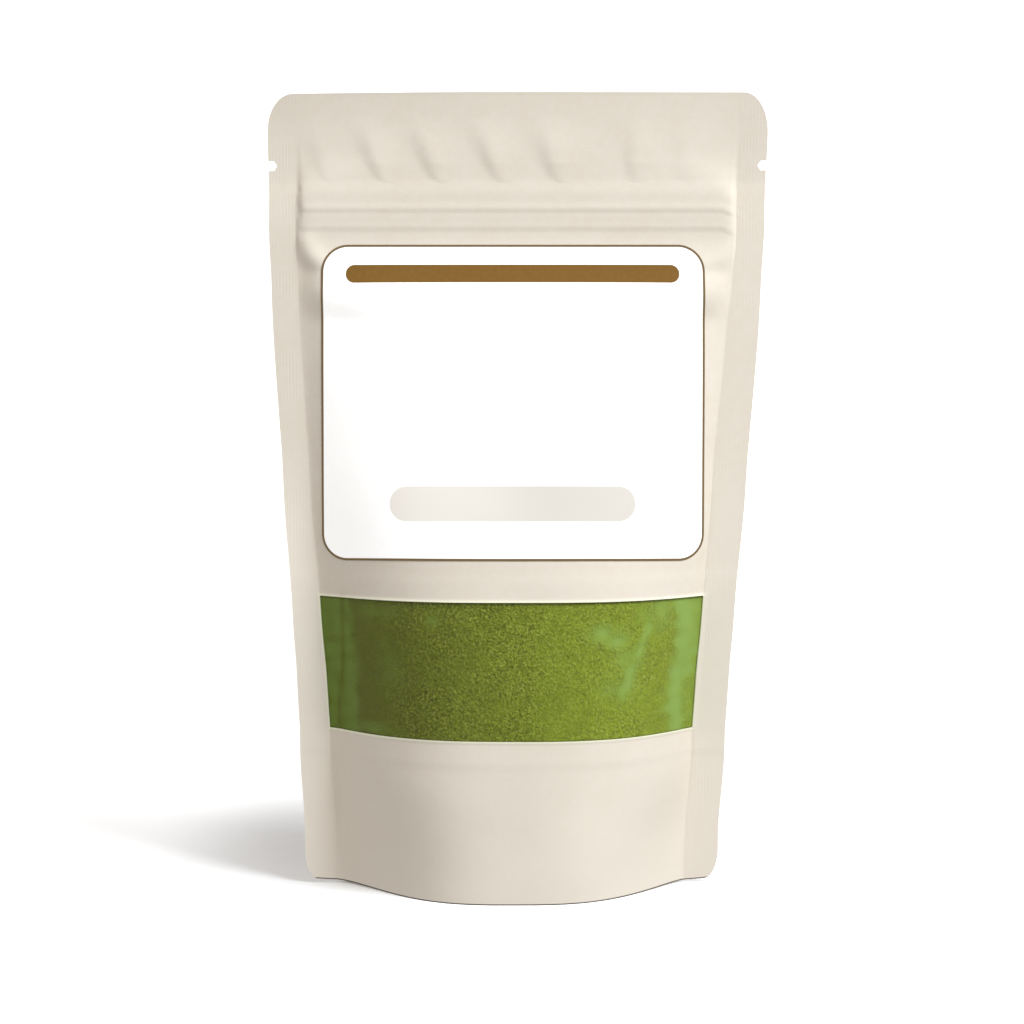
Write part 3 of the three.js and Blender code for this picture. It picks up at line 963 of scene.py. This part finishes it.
# Hazy places where the film touches the powder, painted paler, partly as the film's sheen: centre,
# half size and strength
HAZE_SPOTS = [
    ((-37.0, 42.3), (6.0, 1.7), 0.8),
    ((-35.0, 73.5), (5.5, 2.2), 0.5),
    ((-31.5, 58.5), (2.8, 4.5), 0.35),
    ((-20.5, 71.7), (1.7, 1.7), 0.5),
    ((22.5, 67.6), (3.6, 2.2), 0.9),
    ((26.2, 66.0), (3.2, 2.6), 0.8),
    ((28.8, 61.5), (3.8, 2.8), 0.6),
    ((27.2, 54.0), (4.5, 3.5), 0.45),
    ((38.0, 73.0), (5.5, 4.5), 0.55),
]
# Painted sheen of the film along its creases, as pale streaks on the powder: start, end, strength
# and width
SHEEN_STREAKS = [
    ((35.5, 71), (31.5, 61), 0.8, 1.3),
    ((32.5, 64), (27.0, 50), 0.8, 1.7),
]
# The inner edge of the haze beside each seal, and where the right one ends again: height and x
LEFT_HAZE = [(41, -38.5), (46, -40.8), (58, -40.2), (70, -42.2), (79, -43.2)]
RIGHT_HAZE = [(43, 40.6), (48.4, 39.3), (57, 41.0), (65, 43.0), (72, 42.0), (79, 40.0)]
RIGHT_HAZE_END = [(43, 44.6), (52, 44.0), (60, 49.0)]
# The dark line down the left haze
LEFT_LINE = [(43, -45.6), (60, -44.4), (79, -44.7)]


def powder_touch(x, z):
    """Where the film makes the powder hazy, partly with a painted sheen, and where it leaves its
    grain unseen.
    """
    marks = [-dimple(x, z, *spot) for spot in HAZE_SPOTS]
    marks += [crease(x, z, *streak, 0.12) for streak in SHEEN_STREAKS]
    ragged = 0.5 * waves(x, z, 6, 7, 31)
    line = np.exp(-(((x - through(LEFT_LINE, z)) / 0.7) ** 2))
    marks.append(smooth((through(LEFT_HAZE, z) + ragged - x) / 3.4 + 0.5) * (1 - 0.7 * line))
    end = 1 - 0.6 * smooth((x - through(RIGHT_HAZE_END, z)) / 2.6 + 0.5)
    marks.append(smooth((x + ragged - through(RIGHT_HAZE, z)) / 4.0 + 0.5) * end)
    haze_and_sheen = np.clip(np.maximum.reduce(marks) * (0.92 + 0.26 * waves(x, z, 5, 7, 32)), 0, 1)
    # The grain is soft on the left, low on the right, and a little softer from the middle on
    left = smooth((-27 - x) / 8) * 0.6
    right = 0.6 * smooth((x - 30) / 5) * smooth((58 - z) / 6)
    middle = 0.3 * smooth((x - 2) / 8)
    return haze_and_sheen, np.clip(np.maximum.reduce([1.2 * haze_and_sheen, left, right, middle]), 0, 1)


def make_powder(powder):
    """The fill. It lies against the film, with its grain as relief, and mounds under the zip."""
    spacing = 0.36
    gap = 0.03
    back_gap = 0.2
    side_drop, mound = 9, 2
    depth_of_grain = 0.1
    shares = mirrored(steps(0, 1, spacing / 50))
    hidden_low = np.linspace(0, 1, 8)[:-1]
    window_rows = steps(WINDOW_BOTTOM - 3, WINDOW_TOP + 3, spacing)
    hidden_high = np.linspace(0, 1, 14)[1:]
    overs = np.array([0.75, 0.5, 0.25])
    field = grain_field((len(shares), len(window_rows)), spacing, 0.42, 1.5, 5)
    sides = {-1: [], 1: []}
    looks = {"haze_and_sheen": [], "calm": []}
    for index, column in enumerate(shares):
        top = POWDER_TOP - side_drop * column * column
        rim = gusset_seal_height(abs(column) * 0.96) + 0.6
        low = mix(min(rim, window_rows[0] - 1), window_rows[0], hidden_low)
        high = mix(window_rows[-1], top, hidden_high)
        z = np.concatenate([low, window_rows, high])
        x = column * (hollow_half_width(column, z) - gap)
        grain = np.zeros_like(z)
        rough = 1 - powder_touch(x, z)[1]
        grain[len(low):len(low) + len(window_rows)] = field[index]
        front_gap = depth_of_grain * (1.2 + rough * np.clip(grain, -1.2, 2.2))
        reliefs = {-1: front_gap, 1: back_gap}
        for side, relief in reliefs.items():
            depth = half_depth(x, z, side) - gap - relief * smooth((1 - abs(column)) / 0.03)
            wall = np.stack([x, side * np.maximum(depth, 0.02), z], axis=-1)
            under = [[wall[0, 0], w * wall[0, 1], gusset_floor(column * 0.97, w) + 0.6]
                     for w in overs[::-1]]
            over = [[wall[-1, 0], w * wall[-1, 1], top + mound * (1 - w * w)] for w in overs]
            sides[side].append(np.concatenate([under, wall, over]))
        haze_and_sheen, calm = powder_touch(sides[-1][-1][:, 0], sides[-1][-1][:, 2])
        looks["haze_and_sheen"].append(haze_and_sheen)
        looks["calm"].append(calm)
    sections = np.concatenate([np.array(sides[-1]), np.array(sides[1])[:, ::-1]], axis=1)
    values = {name: both_faces(np.array(marks)) for name, marks in looks.items()}
    return make_piece("powder", loft(settle(sections)), powder,
                      ["powder_fill"], values)


def zip_profiles():
    """Depth and height of the points of each track's end: ribs in front, channels behind."""
    face = 0.9
    thickness = 0.25
    # A rib: half-heights of its stem and its arrow-shaped head, and depths of its neck and tip
    stem, head = 0.2, 0.75
    neck, tip = 0.05, 0.6
    # A channel: half-heights of its lips, room and jaws, and depths of its mouth and lips
    lip, room, jaw = 0.5, 1.05, 1.4
    mouth, lip_depth = -0.6, -0.25
    front = [(-face - thickness, TRACK_BOTTOM), (-face, TRACK_BOTTOM)]
    back = [(face + thickness, TRACK_BOTTOM), (face, TRACK_BOTTOM)]
    for height in RIB_HEIGHTS:
        front += [(-face, height - stem), (neck, height - stem), (neck, height - head),
                  (tip, height - stem), (tip, height + stem), (neck, height + head),
                  (neck, height + stem), (-face, height + stem)]
        back += [(face, height - jaw), (mouth, height - jaw), (mouth, height - lip),
                 (lip_depth, height - lip), (lip_depth, height - room), (face, height - room),
                 (face, height + room), (lip_depth, height + room), (lip_depth, height + lip),
                 (mouth, height + lip), (mouth, height + jaw), (face, height + jaw)]
    front += [(-face, TRACK_TOP), (-face - thickness, TRACK_TOP)]
    back += [(face, TRACK_TOP), (face + thickness, TRACK_TOP)]
    return {"front": front, "back": back}


def make_zip(plastic):
    """Both tracks, crushed flatter at their ends beside the seals."""
    places = steps(-TRACK_HALF_LENGTH, TRACK_HALF_LENGTH, 1.0)
    shares = np.clip(np.abs(places) / hollow_half_width(places, TRACK_TOP - 2), 0, 1)
    crush = 1 - 0.85 * shares ** 40
    for side, profile in zip_profiles().items():
        sections = np.array([[(x, depth * flat, height) for depth, height in profile]
                             for x, flat in zip(places, crush)])
        make_piece(f"zip_{side}", prism(settle(sections)), plastic,
                   [f"zip_track_{side}"])


def make_label(paper):
    """The sticker. Its outline is a plain rectangle with round corners as seen from the front."""
    straight = LABEL_HALF_WIDTH - LABEL_RADIUS
    bends = straight + LABEL_RADIUS * np.sin(np.radians(np.linspace(0, 90, 19)))
    places = mirrored(join_rows(steps(0, straight, 1.0), bends))
    rows = steps(0, 1, 1.0 / 90)
    outset = CLEARANCE + PAPER + CLEARANCE
    sections = []
    heights = []
    for place in places:
        into = np.clip((abs(place) - straight) / LABEL_RADIUS, 0, 1)
        trim = LABEL_RADIUS * (1 - math.sqrt(1 - into * into))
        share = abs(place) / hollow_half_width(place, LABEL_BOTTOM)
        bow = LABEL_BOW * (1 - share ** squareness(LABEL_BOTTOM))
        up = mix(LABEL_BOTTOM + trim, LABEL_TOP - trim, rows)
        z = up + bow * (1 - rows)
        x = place + LABEL_CENTRE_X - LEAN * (z - LEAN_CENTRE)
        outside = wall_point(x, z, outset + LABEL_SHEET, -1)
        inside = wall_point(x, z, outset, -1)
        sections.append(np.concatenate([outside, inside[::-1]]))
        heights.append(up)
    body = loft(settle(np.array(sections)))
    heights = np.array(heights)
    across = np.repeat(places[:, None], len(rows), axis=1)
    return make_piece("face_label", body, paper, ["label"],
                      {"across": both_faces(across), "up": both_faces(heights)})


def make_pouch():
    paper = rice_paper()
    hair = 0.01
    # Rows of a facing near its cut edge at the window, and where its even rows begin
    near_cut = np.array([0, 0.25, 0.5, 0.7])
    even = 1.2
    upper_rows = join_rows(
        WINDOW_TOP + near_cut, steps(WINDOW_TOP + even, ZIP_BOTTOM - 2, 1.0),
        ZIP_ROWS, HEADER_ROWS,
    )
    lower_rows = join_rows(
        [0.0, CONTACT_SHADOW_EDGE - hair, CONTACT_SHADOW_EDGE + hair], steps(1, WINDOW_BOTTOM - even, 1.0),
        BOTTOM_CORNER_ROWS, WINDOW_BOTTOM - near_cut,
    )
    make_facing("facing_upper", upper_rows, WINDOW_TOP, "front_paper_upper", paper)
    make_facing("facing_lower", lower_rows, WINDOW_BOTTOM, "front_paper_lower", paper, True)
    make_film(clear_film())
    make_back(paper)
    make_gusset(paper)
    make_powder(green_powder())
    make_zip(zip_plastic())
    make_label(label_paper())


# Stage, lights and camera

# Where the floor glows least, behind the pouch and left of it, in metres
SHADOW_CENTRE = (-0.05, 0.075)
# How far that place stretches towards the camera and away from it, against its width
SHADOW_STRETCH = (3.0, 1.6)
# The glow there, and how it rises further out: strength, and start and width in metres
LEAST_GLOW = 0.03
GLOW_STEPS = [(0.38, 0.012, 0.05), (0.57, 0.13, 0.45)]


def make_floor():
    """A wide round floor whose rim turns up, so that it is the background on every side."""
    rise_start, rim, turns = 1.6, 2.2, 72
    radii = np.concatenate([
        np.linspace(0.03, 0.2, 18),
        np.geomspace(0.2, rise_start, 12)[1:],
        np.linspace(rise_start, rim, 9)[1:],
    ])
    heights = 1.6 * np.clip((radii - rise_start) / (rim - rise_start), 0, 1) ** 2
    angles = np.linspace(0, 2 * math.pi, turns, endpoint=False)
    points = [(0.0, 0.0, 0.0)]
    for radius, height in zip(radii, heights):
        points += [(radius * math.cos(a), radius * math.sin(a), height) for a in angles]
    faces = [(0, 1 + k, 1 + (k + 1) % turns) for k in range(turns)]
    for ring in range(len(radii) - 1):
        start = 1 + ring * turns
        for k in range(turns):
            after = (k + 1) % turns
            faces.append((start + k, start + turns + k, start + turns + after, start + after))
    mesh = bpy.data.meshes.new("floor")
    mesh.from_pydata(points, [], faces)
    mesh.polygons.foreach_set("use_smooth", [True] * len(mesh.polygons))
    spots = np.array(points)
    aside = spots[:, 0] - SHADOW_CENTRE[0]
    back = spots[:, 1] - SHADOW_CENTRE[1]
    distance = np.hypot(aside, back / np.where(back < 0, *SHADOW_STRETCH))
    glow = np.full_like(distance, LEAST_GLOW)
    for strength, start, width in GLOW_STEPS:
        glow = glow + strength * smooth((distance - start) / width)
    layer = mesh.attributes.new("glow", "FLOAT", "POINT")
    layer.data.foreach_set("value", glow)
    mesh.materials.append(studio_white())
    floor = bpy.data.objects.new("floor", mesh)
    bpy.context.scene.collection.objects.link(floor)
    floor.visible_diffuse = False
    floor.visible_shadow = False


def make_light(name, azimuth, elevation, distance, size, power, colour):
    """A square soft light that faces the pouch. Azimuth 0 is in front, 90 on the right."""
    a, e = math.radians(azimuth), math.radians(elevation)
    back = np.array([math.sin(a) * math.cos(e), -math.cos(a) * math.cos(e), math.sin(e)])
    data = bpy.data.lights.new(name, "AREA")
    data.size = size
    data.energy = power
    data.color = colour
    light = bpy.data.objects.new(name, data)
    target = np.array([0, 0, 0.1])
    light.location = target + back * distance
    light.rotation_euler = (math.pi / 2 - e, 0, a)
    light.visible_camera = False
    bpy.context.scene.collection.objects.link(light)


def make_world():
    """Even white studio light that is a little stronger from above."""
    world = bpy.data.worlds.new("studio")
    bpy.context.scene.world = world
    world.use_nodes = True
    nodes, links = world.node_tree.nodes, world.node_tree.links
    place = nodes.new("ShaderNodeTexCoord")
    split = nodes.new("ShaderNodeSeparateXYZ")
    remap = nodes.new("ShaderNodeMapRange")
    remap.inputs["From Min"].default_value = -1.0
    remap.inputs["To Min"].default_value = 0.46
    remap.inputs["To Max"].default_value = 0.60
    links.new(place.outputs["Generated"], split.inputs[0])
    links.new(split.outputs["Z"], remap.inputs["Value"])
    links.new(remap.outputs["Result"], nodes["Background"].inputs["Strength"])
    nodes["Background"].inputs["Color"].default_value = (1.0, 0.965, 0.925, 1)


# The photograph's view: distance, eye height and tilt of a long lens in front of the pouch
CAMERA_PLACE = (-0.64, -584.4, 126.0)
CAMERA_PITCH = 0.0483
CAMERA_LENS = 78.5


def make_camera():
    data = bpy.data.cameras.new("view")
    data.lens = CAMERA_LENS
    data.sensor_width = 36.0
    data.clip_start = 0.01
    data.clip_end = 20.0
    camera = bpy.data.objects.new("view", data)
    camera.location = [value * MM for value in CAMERA_PLACE]
    camera.rotation_euler = (math.pi / 2 - CAMERA_PITCH, 0, 0)
    bpy.context.scene.collection.objects.link(camera)
    bpy.context.scene.camera = camera


make_camera()
make_world()
make_light("key", azimuth=50, elevation=48, distance=1.1, size=0.42, power=11.2,
           colour=(0.95, 0.98, 1.0))
make_floor()
make_pouch()
bpy.context.scene.view_settings.view_transform = "Standard"
